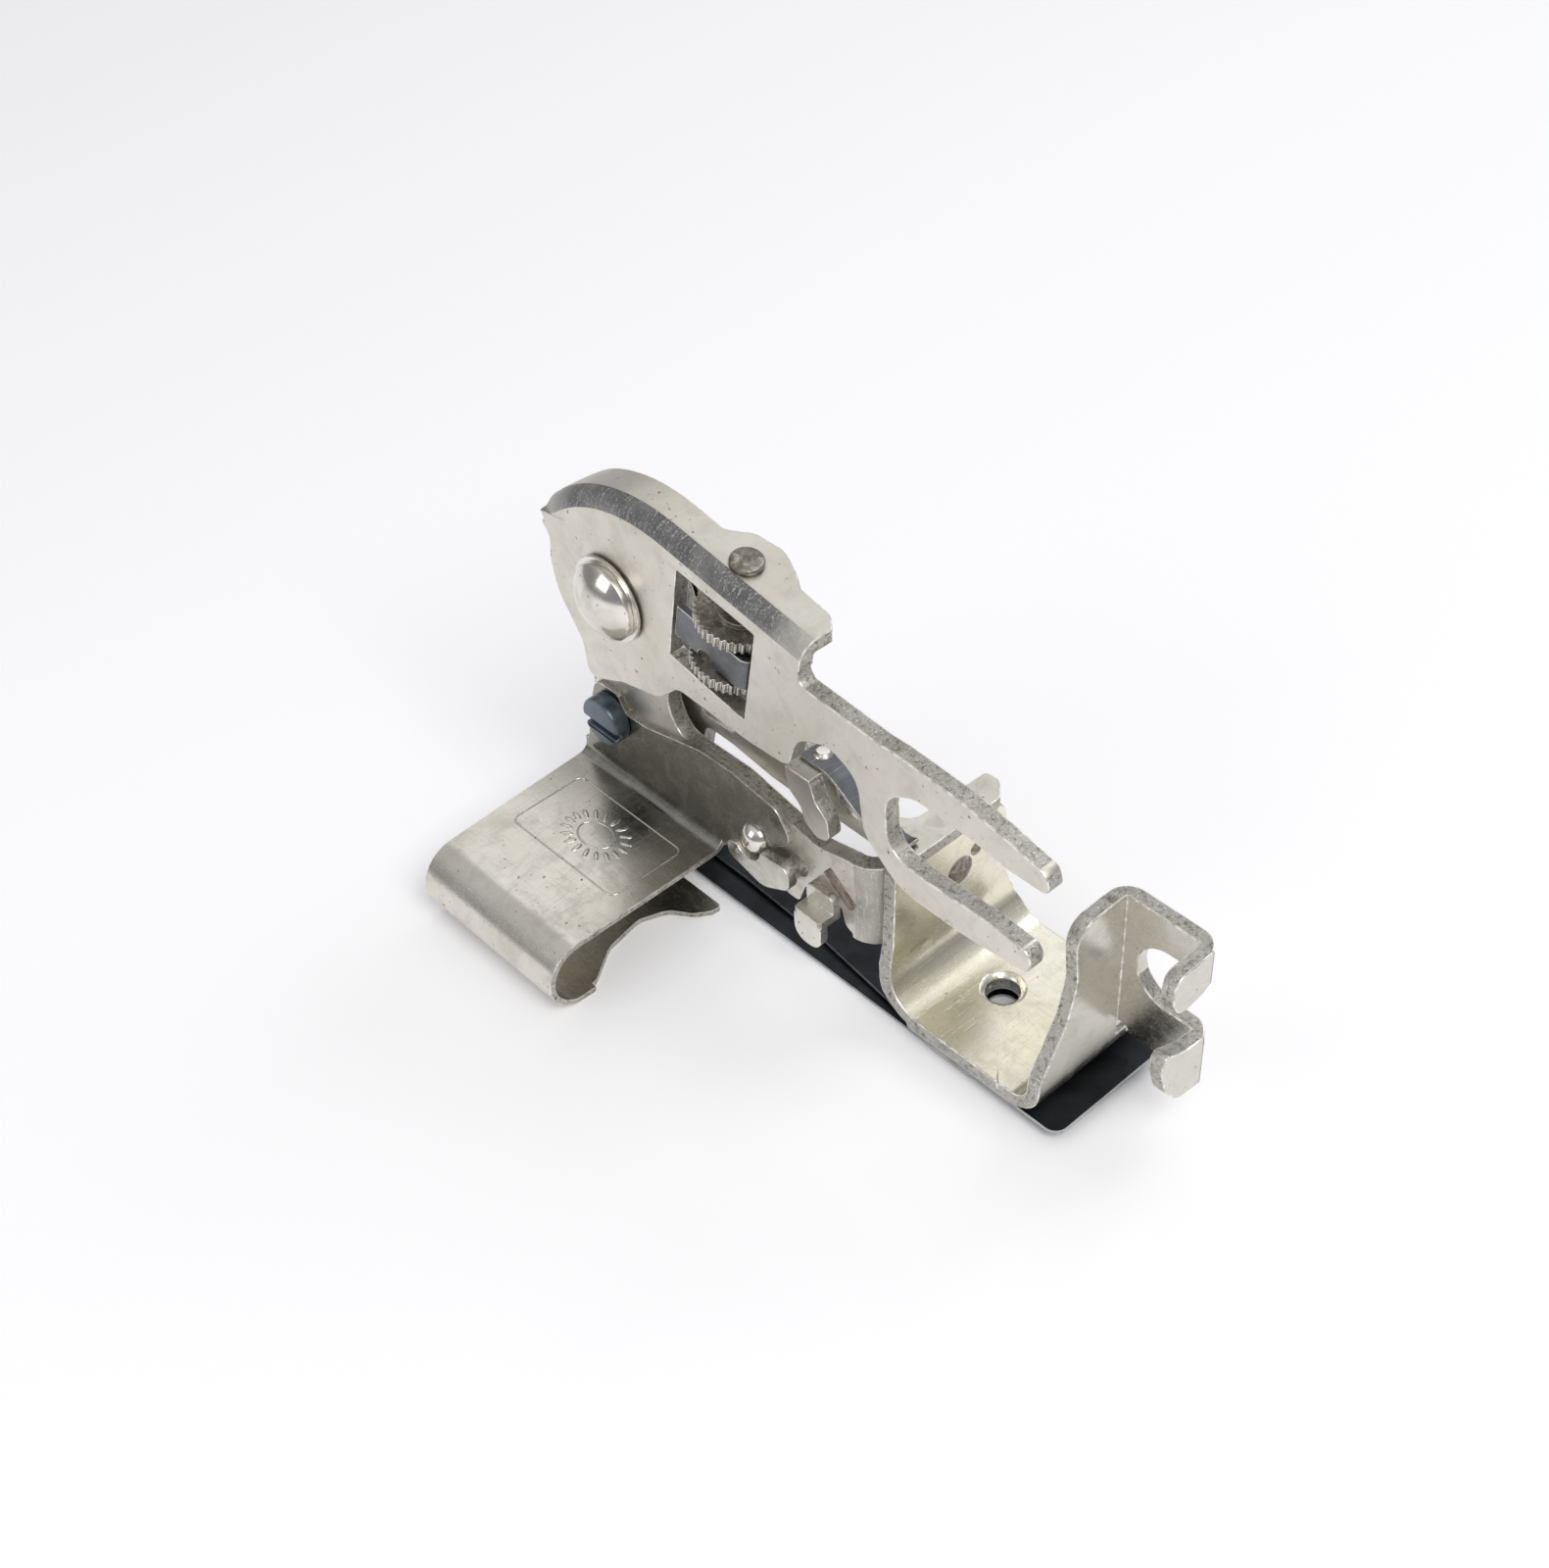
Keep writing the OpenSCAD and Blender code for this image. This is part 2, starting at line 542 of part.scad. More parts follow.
module carrier_outline() difference() {
    polygon(soft([
        [-35.4, 1.1, 0.6], [-29.2, 1.1, 0.6], [-29.2, 9.0, 2], [-27.6, 15.0, 1.0], [-24.4, 14.9, 0], [-20.0, 14.3, 2],
        [-15.2, 14.2, 1], [-12.6, 14.6, 1], [-9.0, 14.6, 0.4], [-9.0, 16.0, 0], [-12.4, 16.0, 1.5], [-13.3, 19.5, 1],
        [-16.2, 19.7, 1], [-20.0, 21.6, 3], [-25.2, 23.2, 3], [-26.6, 27.0, 4.5], [-28.8, 32.4, 4.5],
        [-35.6, 32.4, 4.5], [-37.6, 26.5, 4.5], [-35.6, 20, 4]]));
    // opening between the upper and lower arms
    polygon(soft([[-28.0, 16.2, 0.4], [-24.2, 16.2, 0.3], [-24.2, 18.3, 0.6], [-27.0, 18.8, 0.8]]));
}

module blade_carrier() {
    x1 = carrier_x + carrier_t;
    difference() {
        union() {
            sheet_x(carrier_x, carrier_t) carrier_outline();
            // foot flange over the blade
            sheet_z(1.1, 1.1)
                polygon(soft([[x1, -35.4, 0.5], [x1, -29.2, 0.5], [0.0, -29.2, 1.2], [-0.9, -32.2, 1.4],
                    [0.0, -35.4, 1.2]]));
            // stop bar lying over the foot's front wall
            sheet_z(14.9, 1.1)
                polygon(soft([[x1, -12.4, 0], [x1, -4.9, 0.5], [-4.6, -4.9, 0.9], [-5.9, -6.2, 1.0], [-5.9, -7.6, 0.4],
                    [1.6, -7.8, 1.5], [2.4, -9.2, 1.5], [2.6, -12.4, 0.5]]));
            // finger turned over the frame's top edge
            sheet_z(18.6, 1.1)
                polygon([[carrier_x + 0.3, -15.9], [6.9, -15.9], [6.9, -13.3], [carrier_x + 0.3, -13.3]]);
            sheet_x(5.6, 1.3)
                polygon(soft([[-15.9, 19.7, 0.9], [-15.7, 17.6, 0.6], [-14.4, 16.6, 1.2], [-14.0, 15.3, 1],
                    [-12.8, 14.4, 0.9], [-11.3, 14.8, 0.9], [-11.5, 16.8, 1], [-12.7, 17.9, 1], [-13.3, 19.7, 0.9]]));
        }
        bar_x(0, 9, pivot, stud_r + run_gap);
        // oval for the blade rivet's neck
        translate([1.2, -32.2, 0]) cylinder(r = 1.0, h = 3);
        bar_z(4.2, -14.6, 0.4);
    }
}
module bar_z(x, y, r) translate([x, y, 17]) cylinder(r = r, h = 6);

module return_spring() {
    // flat spring leaning from the finger down to the stop bar
    difference() {
        sheet_x(carrier_x, 2.35)
            polygon([[-15.7, 19.7], [-12.9, 19.7], [-11.9, 19.2], [-7.2, 16.05], [-6.4, 16.02], [-5.7, 16.3],
                [-5.8, 16.53], [-6.4, 16.27], [-7.15, 16.3], [-11.85, 19.46], [-12.85, 19.95], [-15.7, 19.95]]);
        bar_z(4.2, -14.6, 0.4);
    }
}

module spring_rivet() {
    translate([4.2, -14.6, 18.5]) cylinder(r = 0.4, h = 1.5);
    translate([4.2, -14.6, 19.95]) cylinder(r1 = 0.8, r2 = 0.5, h = 0.3, $fn = 64);
}

color("silver") frame_plate();
color("silver") presser_foot();
color("silver") sole_plate();
color("silver") cloth_guide();
color("steelblue") guide_screw();
color("silver") guide_rivet();
color("dimgray") foot_rivet_large();
color("dimgray") foot_rivet_small();
color("rosybrown") staked_tenon();
color("silver") stop_leaf();
color("silver") leaf_pin();
color("silver") hem_lug();
color("darkslategray") separator_blade();
color("silver") separator_rivet(-37.4);  // separator_rivet_front
color("silver") separator_rivet(-34.8);  // separator_rivet_rear
color("silver") pivot_stud();
color("silver") stud_washer();
color("silver") spacer_washer();
color("silver") inner_washer();
color("silver") fork_lever();
color("gray") regulating_screw();
color("gray") stop_block();
color("gray") regulating_nut();
color("silver") blade_carrier();
color("darkslategray") return_spring();
color("silver") spring_rivet();
color("darkslategray") ruffling_blade();
color("silver") blade_rivet();
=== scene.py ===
import bpy, bmesh, json, math
from mathutils import Matrix, Vector
from mathutils.bvhtree import BVHTree


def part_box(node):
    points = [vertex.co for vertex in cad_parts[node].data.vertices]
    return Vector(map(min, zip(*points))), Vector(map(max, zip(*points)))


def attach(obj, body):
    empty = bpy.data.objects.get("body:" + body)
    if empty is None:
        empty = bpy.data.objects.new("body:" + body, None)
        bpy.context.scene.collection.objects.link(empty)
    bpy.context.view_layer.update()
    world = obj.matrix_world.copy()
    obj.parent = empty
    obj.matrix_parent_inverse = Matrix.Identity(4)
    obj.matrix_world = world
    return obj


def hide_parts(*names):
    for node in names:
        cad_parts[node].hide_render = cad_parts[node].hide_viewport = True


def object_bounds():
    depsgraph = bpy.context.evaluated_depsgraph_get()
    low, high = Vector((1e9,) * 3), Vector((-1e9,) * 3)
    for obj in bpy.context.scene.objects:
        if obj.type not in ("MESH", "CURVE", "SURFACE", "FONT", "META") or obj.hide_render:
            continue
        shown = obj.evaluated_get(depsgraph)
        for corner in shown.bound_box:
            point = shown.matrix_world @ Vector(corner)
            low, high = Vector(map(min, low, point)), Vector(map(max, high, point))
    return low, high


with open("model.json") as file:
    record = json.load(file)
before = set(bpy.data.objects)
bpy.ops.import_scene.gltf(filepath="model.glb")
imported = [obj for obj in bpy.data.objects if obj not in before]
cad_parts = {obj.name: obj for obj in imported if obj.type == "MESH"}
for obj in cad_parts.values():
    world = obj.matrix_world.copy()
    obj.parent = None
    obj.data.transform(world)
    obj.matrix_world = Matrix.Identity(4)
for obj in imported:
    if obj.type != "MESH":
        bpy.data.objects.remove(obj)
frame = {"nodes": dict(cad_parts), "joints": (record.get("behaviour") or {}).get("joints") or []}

mm = 0.001
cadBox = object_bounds()
cadNodes = frame["nodes"]
print("stage: frame loaded")


# a node socket that can be added, multiplied and so on
class Wire:
    def __init__(self, tree, socket=None):
        self.tree, self.socket = tree, socket

    def make(self, kind, settings=None, inputs=None, out=0):
        node = self.tree.nodes.new(kind)
        for key, value in (settings or {}).items():
            setattr(node, key, value)
        for key, value in (inputs or {}).items():
            if isinstance(value, Wire):
                self.tree.links.new(value.socket, node.inputs[key])
            else:
                node.inputs[key].default_value = value
        return Wire(self.tree, node.outputs[out] if len(node.outputs) else None)

    def math(self, operation, a, b=0.0, clamp=False):
        return self.make("ShaderNodeMath", {"operation": operation, "use_clamp": clamp}, {0: a, 1: b})

    def __add__(self, other):
        return self.math("ADD", self, other)

    def __radd__(self, other):
        return self.math("ADD", other, self)

    def __sub__(self, other):
        return self.math("SUBTRACT", self, other)

    def __rsub__(self, other):
        return self.math("SUBTRACT", other, self)

    def __mul__(self, other):
        return self.math("MULTIPLY", self, other)

    def __rmul__(self, other):
        return self.math("MULTIPLY", other, self)

    def clamp(self):
        return self.math("ADD", self, 0.0, clamp=True)

    # 0 at low, 1 at high, soft between
    def step(self, low, high):
        return self.make("ShaderNodeMapRange", {"interpolation_type": "SMOOTHSTEP"},
                         {"Value": self, "From Min": low, "From Max": high, "To Min": 0.0, "To Max": 1.0})


def mixColour(factor, a, b):
    asInput = lambda c: c if isinstance(c, Wire) else tuple(c) + (1,)
    return factor.make("ShaderNodeMix", {"data_type": "RGBA"},
                       {0: factor, 6: asInput(a), 7: asInput(b)}, out=2)


# patterns read the object's own coordinates, in mm
def newMaterial(name):
    material = bpy.data.materials.new(name)
    material.use_nodes = True
    tree = material.node_tree
    tree.nodes.clear()
    base = Wire(tree)
    coords = base.make("ShaderNodeTexCoord", out="Object")
    inMm = base.make("ShaderNodeVectorMath", {"operation": "SCALE"}, {0: coords, "Scale": 1 / mm})
    return material, base, inMm


def noise(base, place, scale, detail=3.0, rough=0.5, stretch=(1, 1, 1), turn=(0, 0, 0), warp=0.0):
    turned = base.make("ShaderNodeMapping", None, {"Vector": place, "Rotation": turn, "Scale": stretch})
    return base.make("ShaderNodeTexNoise", None, {"Vector": turned, "Scale": scale, "Detail": detail,
                                                  "Roughness": rough, "Distortion": warp})


def alongAxis(base, place, axis):
    return base.make("ShaderNodeSeparateXYZ", None, {0: place}, out=axis)


def closeMaterial(base, colour, roughness, metallic, height, bumpStrength, bumpMm, coat=0.0):
    bump = base.make("ShaderNodeBump", None,
                     {"Strength": bumpStrength, "Distance": bumpMm * mm, "Height": height})
    shader = base.make("ShaderNodeBsdfPrincipled", None,
                       {"Base Color": colour, "Roughness": roughness, "Metallic": metallic,
                        "Coat Weight": coat, "Coat Roughness": 0.2, "Normal": bump})
    base.make("ShaderNodeOutputMaterial", None, {"Surface": shader})


# nickel on a rolled sheet: soft clouds, rubbing, fine scratches and dark specks
def nickelSheet(name, look):
    material, base, place = newMaterial(name)
    clouds = noise(base, place, 0.16, 4, 0.55)
    patches = noise(base, place, 0.55, 6, 0.62, warp=0.6)
    grain = noise(base, place, 3.2, 6, 0.7)
    rub = noise(base, place, 1.0, 3, 0.6, look.get("rubStretch", (0.5, 9, 9)), look.get("rubTurn", (0, 0, 0)))
    scratchA = noise(base, place, 1.0, 2, 0.5, (0.22, 14, 14), (0.3, 0.9, 0.7)).step(0.66, 0.70)
    scratchB = noise(base, place, 1.0, 2, 0.5, (14, 0.25, 12), (0.5, 0.2, -0.6)).step(0.67, 0.71)
    speckFrom = look.get("speckFrom", 0.70)
    specks = noise(base, place, 2.1, 2, 0.5).step(speckFrom, speckFrom + 0.035)
    dull = patches.step(0.42, 0.72)
    tone = mixColour(clouds.step(0.3, 0.7), look["light"], look["warm"])
    if "darkenAxis" in look:  # a darker tone that fades along one axis: painted shade on the frame plate and blade carrier, painted reflection and shade on the guide, and on the foot a darkening towards its rear wall
        along = alongAxis(base, place, look["darkenAxis"])
        darkTone = (along + (clouds - 0.5) * 2.5).step(*look["darkenFade"])
        tone = mixColour((1 - darkTone) * look["darkenAmount"], tone, look["darkTone"])
    tone = mixColour(dull * look.get("dullAmount", 0.55), tone, look["dark"])
    tone = mixColour(scratchA * 0.35, tone, (0.93, 0.91, 0.86))
    tone = mixColour((specks * 0.8).clamp(), tone, (0.16, 0.13, 0.1))
    roughness = look["roughness"] + (patches - 0.5) * 0.28 + (rub - 0.5) * 0.16 + specks * 0.25
    height = (grain * 0.35 + rub * look.get("rubDepth", 0.5) + patches * 0.8
              - scratchA * 0.5 - scratchB * 0.5 - specks * 0.8)
    closeMaterial(base, tone, roughness.clamp(), 1.0 - specks * 0.5, height, look.get("bump", 0.35), 0.02)
    return material


# the torn, pitted face that a punch leaves on sheet steel
def shearedEdge(name, look):
    material, base, place = newMaterial(name)
    tear = noise(base, place, 2.6, 8, 0.72, warp=0.4)
    chips = base.make("ShaderNodeTexVoronoi", {"feature": "F1"}, {"Vector": place, "Scale": 3.1})
    fine = noise(base, place, 9.0, 4, 0.65)
    broad = noise(base, place, 0.35, 3, 0.5)
    pits = (1 - tear).step(0.49, 0.64)
    bright = fine.step(0.52, 0.66) * (1 - pits)
    tone = mixColour(broad.step(0.3, 0.7), look["mid"], look["warm"])
    tone = mixColour(pits * (0.35 + broad * 0.6), tone, look["pit"])
    tone = mixColour(bright * 0.8, tone, look["spark"])
    roughness = 0.36 + pits * 0.34 + (fine - 0.5) * 0.3
    height = tear * 1.4 + chips * 0.35 + fine * 0.5
    closeMaterial(base, tone, roughness.clamp(), 1.0 - pits * 0.25, height, 0.8, 0.07)
    return material


# the thin line where the plate is rubbed bright
def rubbedEdge(name, look):
    material, base, place = newMaterial(name)
    wear = noise(base, place, 1.4, 5, 0.65)
    fine = noise(base, place, 8.0, 3, 0.6)
    tone = mixColour(wear.step(0.38, 0.62), look["dark"], look["bright"])
    roughness = 0.2 + (1 - wear) * 0.25
    closeMaterial(base, tone, roughness.clamp(), 1.0 - wear * 0.02, wear + fine * 0.4, 0.4, 0.03)
    return material


# a folded corner: dark, dry and crossed by fine ticks
def foldedCorner(name, look):
    material, base, place = newMaterial(name)
    ticks = noise(base, place, 1.0, 4, 0.7, look["tickStretch"], look.get("tickTurn", (0, 0, 0)))
    grit = noise(base, place, 6.0, 6, 0.75)
    clouds = noise(base, place, 0.35, 4, 0.6)
    bright = (ticks * 0.4 + grit * 0.6).step(0.52, 0.60)
    tone = mixColour(clouds.step(0.35, 0.65), look["dark"], look["mid"])
    tone = mixColour(bright * look.get("brightAmount", 0.6), tone, look["bright"])
    for axis, start, end in look.get("fade", ()):  # where the band pales towards an end
        along = alongAxis(base, place, axis) + (grit - 0.5) * 2.0 + (clouds - 0.5) * 3.0
        tone = mixColour(along.step(start, end) * 0.85, tone, look["pale"])
    roughness = 0.42 + (grit - 0.5) * 0.35 + (ticks - 0.5) * 0.2
    closeMaterial(base, tone, roughness.clamp(), 1.0 - bright * 0.05, ticks + grit * 1.2, 1.0, 0.07)
    return material


# heat-blued or blackened steel, thin at the rubbed places
def bluedSteel(name, look):
    material, base, place = newMaterial(name)
    clouds = noise(base, place, 0.3, 5, 0.6, warp=0.5)
    fine = noise(base, place, 5.0, 5, 0.7)
    strokes = noise(base, place, 1.0, 3, 0.6, (12, 0.4, 12), (0, 0, 0.12))
    worn = (noise(base, place, 0.9, 7, 0.7) * 0.7 + strokes * 0.3).step(0.60, 0.72)
    tone = mixColour(clouds.step(0.32, 0.68), look["deep"], look["blue"])
    tone = mixColour(worn * look["wornAmount"], tone, look["bare"])
    roughness = look["roughness"] + (clouds - 0.5) * 0.22 + (strokes - 0.5) * 0.14
    closeMaterial(base, tone, roughness.clamp(), 0.75 + worn * 0.25, fine * 0.5 + strokes, 0.3, 0.015,
                  coat=look.get("coat", 0.15))
    return material


# turned steel that has gone brown-grey, bright where fingers rub it
def turnedSteel(name, look):
    material, base, place = newMaterial(name)
    stain = noise(base, place, 0.9, 6, 0.68, warp=0.5)
    fine = noise(base, place, 6.0, 5, 0.7)
    worn = noise(base, place, 2.0, 4, 0.6).step(0.50, 0.66)
    tone = mixColour(stain.step(0.34, 0.64), look["light"], look["brown"])
    tone = mixColour(worn * 0.55, tone, look["bright"])
    roughness = look["roughness"] + (stain - 0.5) * 0.35
    closeMaterial(base, tone, roughness.clamp(), 1.0 - stain * 0.2, fine + stain, 0.5, 0.03)
    return material


plateLook = {"light": (0.74, 0.715, 0.655), "warm": (0.68, 0.645, 0.565), "dark": (0.48, 0.455, 0.40),
             "roughness": 0.36}
leverLook = {**plateLook, "roughness": 0.44, "dullAmount": 0.3, "rubStretch": (9, 0.5, 9),
             "rubTurn": (-0.2, 0, 0)}
# the frame plate's darkening is painted shade where it stands behind the lever: full above Z 26 mm, gone
# below Z 12 mm
framePlateLook = {**plateLook, "rubStretch": (9, 9, 0.5), "dullAmount": 0.65, "darkenAxis": 2,
                  "darkenFade": (26.0, 12.0), "darkenAmount": 0.6, "darkTone": (0.22, 0.215, 0.20)}
# the blade carrier's darkening is painted shade from the lever, near black: full above Z 22.5 mm, gone below
# Z 15.5 mm
carrierLook = {**plateLook, "rubStretch": (9, 9, 0.5), "dullAmount": 0.65, "darkenAxis": 2,
               "darkenFade": (22.5, 15.5), "darkenAmount": 0.9, "darkTone": (0.075, 0.072, 0.065)}
foldLook = {"tickStretch": (0.8, 6.5, 0.8), "tickTurn": (-0.19, 0, 0), "dark": (0.17, 0.17, 0.17),
            "mid": (0.27, 0.27, 0.265), "bright": (0.82, 0.81, 0.78), "pale": (0.62, 0.60, 0.55),
            "fade": ((1, -36.0, -39.5), (1, -15.5, -11.5))}  # (axis, from, to) in mm
bendLook = {"tickStretch": (5.0, 5.0, 0.5), "dark": (0.38, 0.37, 0.34), "mid": (0.56, 0.54, 0.49),
            "bright": (0.86, 0.84, 0.79), "brightAmount": 0.7}
# the foot darkens towards its rear wall: full beyond Y 8.6 mm, gone below Y 6.2 mm
footLook = {**plateLook, "roughness": 0.25, "light": (0.88, 0.85, 0.74), "warm": (0.84, 0.79, 0.62),
            "dullAmount": 0.3, "speckFrom": 0.72, "darkenAxis": 1, "darkenFade": (8.6, 6.2),
            "darkenAmount": 0.85, "darkTone": (0.60, 0.58, 0.53)}
# the guide's darkening is painted reflection and shade of the upright plates beside it (its own wall, the
# frame plate, the lever): full below X 7.5 mm, gone beyond X 16.5 mm
guideLook = {**plateLook, "roughness": 0.26, "rubStretch": (4, 0.35, 4), "rubDepth": 0.25, "dullAmount": 0.45,
             "darkenAxis": 0, "darkenFade": (7.5, 16.5), "darkenAmount": 0.85, "darkTone": (0.20, 0.195, 0.175)}
beadingLook = {**plateLook, "light": (0.80, 0.78, 0.72), "warm": (0.66, 0.63, 0.56), "roughness": 0.24,
               "dullAmount": 0.3}
trimLook = {**plateLook, "light": (0.84, 0.82, 0.77), "roughness": 0.24, "dullAmount": 0.4}
domeLook = {**plateLook, "light": (0.86, 0.84, 0.79), "roughness": 0.16, "bump": 0.2}
shearedLook = {"mid": (0.52, 0.505, 0.465), "warm": (0.43, 0.41, 0.36), "pit": (0.085, 0.08, 0.072),
               "spark": (0.92, 0.91, 0.88)}
rubbedLook = {"dark": (0.55, 0.53, 0.48), "bright": (0.95, 0.93, 0.89)}
bladeLook = {"deep": (0.012, 0.013, 0.015), "blue": (0.028, 0.031, 0.038), "bare": (0.20, 0.20, 0.205),
             "roughness": 0.42, "wornAmount": 0.2, "coat": 0.0}
# the blades' cut edges and rims: a painted sheen, grey far lighter than the black faces, with bare worn spots
bladeEdgeLook = {"deep": (0.30, 0.30, 0.31), "blue": (0.52, 0.53, 0.54), "bare": (0.85, 0.85, 0.84),
                 "roughness": 0.3, "wornAmount": 0.7, "coat": 0.0}
blueScrewLook = {"deep": (0.085, 0.11, 0.135), "blue": (0.16, 0.195, 0.23), "bare": (0.50, 0.54, 0.56),
                 "roughness": 0.36, "wornAmount": 0.4}
discLook = {"light": (0.34, 0.325, 0.285), "brown": (0.17, 0.15, 0.12), "bright": (0.60, 0.58, 0.53),
            "roughness": 0.42}
blockLook = {**plateLook, "light": (0.17, 0.178, 0.185), "warm": (0.145, 0.15, 0.155),
             "dark": (0.09, 0.09, 0.092), "roughness": 0.34}
stakeLook = {"light": (0.40, 0.34, 0.29), "brown": (0.20, 0.14, 0.115), "bright": (0.55, 0.49, 0.44),
             "roughness": 0.5}
mats = {
    "lever": nickelSheet("lever_nickel", leverLook),
    "plate": nickelSheet("plate_nickel", framePlateLook),
    "carrier": nickelSheet("carrier_nickel", carrierLook),
    "foldBand": foldedCorner("folded_corner", foldLook),
    "bendBand": foldedCorner("rolled_bend", bendLook),
    "foot": nickelSheet("foot_nickel", footLook),
    "guide": nickelSheet("guide_nickel", guideLook),
    "beading": nickelSheet("beading_nickel", beadingLook),
    "trim": nickelSheet("trim_nickel", trimLook),
    "dome": nickelSheet("dome_nickel", domeLook),
    "sheared": shearedEdge("sheared_steel", shearedLook),
    "rubbed": rubbedEdge("rubbed_nickel", rubbedLook),
    "blade": bluedSteel("blued_spring_steel", bladeLook),
    "bladeEdge": bluedSteel("blade_edge_sheen_and_wear", bladeEdgeLook),
    "screw": bluedSteel("blued_screw", blueScrewLook),
    "disc": turnedSteel("browned_disc", discLook),
    "block": nickelSheet("block_steel", blockLook),
    "stake": turnedSteel("browned_stake", stakeLook),
}
print("stage: materials")


def newPiece(name, mesh):
    piece = bpy.data.objects.new(name, mesh)
    bpy.context.scene.collection.objects.link(piece)
    return piece


def plainMesh(piece):
    mesh = bpy.data.meshes.new_from_object(piece.evaluated_get(bpy.context.evaluated_depsgraph_get()))
    piece.modifiers.clear()
    return mesh


# how every frame part is dressed: lengths in mm, areas in square mm, angles in degrees
dressing = {"joinGap": 0.002, "flatGap": 0.001, "rayInset": 0.004, "edgeDepth": 1.5, "flatAngle": 0.6,
            "pointGap": 0.025, "arrisAngle": 35, "sliverArea": 0.006, "endMargin": 0.9, "sharpAngle": 33}


# one flat face's normal and its distance from the origin
def planeOf(face):
    distance = face.normal.dot(face.calc_center_median()) / mm
    return tuple(round(v, 2) for v in face.normal) + (round(distance, 1),)


# the sheet's faces take finish 0, a bend 3, and punched edges, with deep steel behind them, 1
def markFaces(bm, sheet, band):
    tree = BVHTree.FromBMesh(bm)
    votes = {}
    for face in bm.faces:
        start = face.calc_center_median() - face.normal * (dressing["rayInset"] * mm)
        hit = tree.ray_cast(start, -face.normal)
        depth = hit[3] if hit[0] is not None else 1.0
        vote = 1 if sheet and depth > sheet * mm * dressing["edgeDepth"] else -1
        votes[planeOf(face)] = votes.get(planeOf(face), 0) + face.calc_area() * vote
    for face in bm.faces:
        face.material_index = 1 if votes[planeOf(face)] > 0 else 0
        face.smooth = True
        if band and face.material_index == 0 and band["where"](face.normal, face.calc_center_median() / mm):
            face.material_index = 3


# slivers keep their sharp arris, so that it can't throw a spike
def weighArrises(bm, cutBack):
    weight = bm.edges.layers.float.new("bevel_weight_edge")
    for edge in bm.edges:
        middle = (edge.verts[0].co + edge.verts[1].co) / 2
        sliver = min((f.calc_area() for f in edge.link_faces), default=0) < dressing["sliverArea"] * mm * mm
        nearEnd = cutBack is not None and middle.y < (cutBack + dressing["endMargin"]) * mm
        sharp = edge.is_manifold and edge.calc_face_angle(0) > math.radians(dressing["arrisAngle"])
        if sharp and not sliver and not nearEnd:
            edge[weight] = 1


def roundArrises(piece, node, width):
    mod = piece.modifiers.new("arris", "BEVEL")
    mod.width, mod.segments, mod.limit_method = width * mm, 2, "WEIGHT"
    mod.use_clamp_overlap, mod.harden_normals, mod.material = False, False, 2
    mod.miter_outer = "MITER_ARC"
    piece.data = plainMesh(piece)
    low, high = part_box(node)
    for vert in piece.data.vertices:  # an arris never stands proud of the part
        vert.co = [min(max(c, a), b) for c, a, b in zip(vert.co, low, high)]
    piece.data.set_sharp_from_angle(angle=math.radians(dressing["sharpAngle"]))
    even = piece.modifiers.new("even", "WEIGHTED_NORMAL")
    even.mode, even.weight, even.keep_sharp = "FACE_AREA", 100, True
    piece.data = plainMesh(piece)


# a cleaned copy of a frame part with rubbed arrises, which stands for the part
def dressedPart(node, look, band=None, cutBack=None):
    bm = bmesh.new()
    bm.from_mesh(cadNodes[node].data)
    bmesh.ops.remove_doubles(bm, verts=bm.verts, dist=dressing["joinGap"] * mm)
    bm.normal_update()
    bmesh.ops.dissolve_degenerate(bm, edges=bm.edges, dist=dressing["flatGap"] * mm)
    if cutBack is not None:  # a sharp end is dressed back to this Y
        for vert in bm.verts:
            vert.co.y = max(vert.co.y, cutBack * mm)
    markFaces(bm, look.get("sheet", 0), band)
    bmesh.ops.dissolve_limit(bm, angle_limit=math.radians(dressing["flatAngle"]), verts=bm.verts,
                             edges=bm.edges, delimit={"MATERIAL"})
    bmesh.ops.remove_doubles(bm, verts=bm.verts, dist=dressing["pointGap"] * mm)
    weighArrises(bm, cutBack)
    mesh = bpy.data.meshes.new(node + "_dressed")
    bm.to_mesh(mesh)
    bm.free()
    edge = look.get("edge", look["face"])
    bend = band["finish"] if band else look["face"]
    for finish in (look["face"], edge, look.get("rim", "rubbed"), bend):
        mesh.materials.append(mats[finish])
    piece = newPiece(node + "_finish", mesh)
    roundArrises(piece, node, look["arris"])
    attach(piece, body=look["body"])
    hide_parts(node)


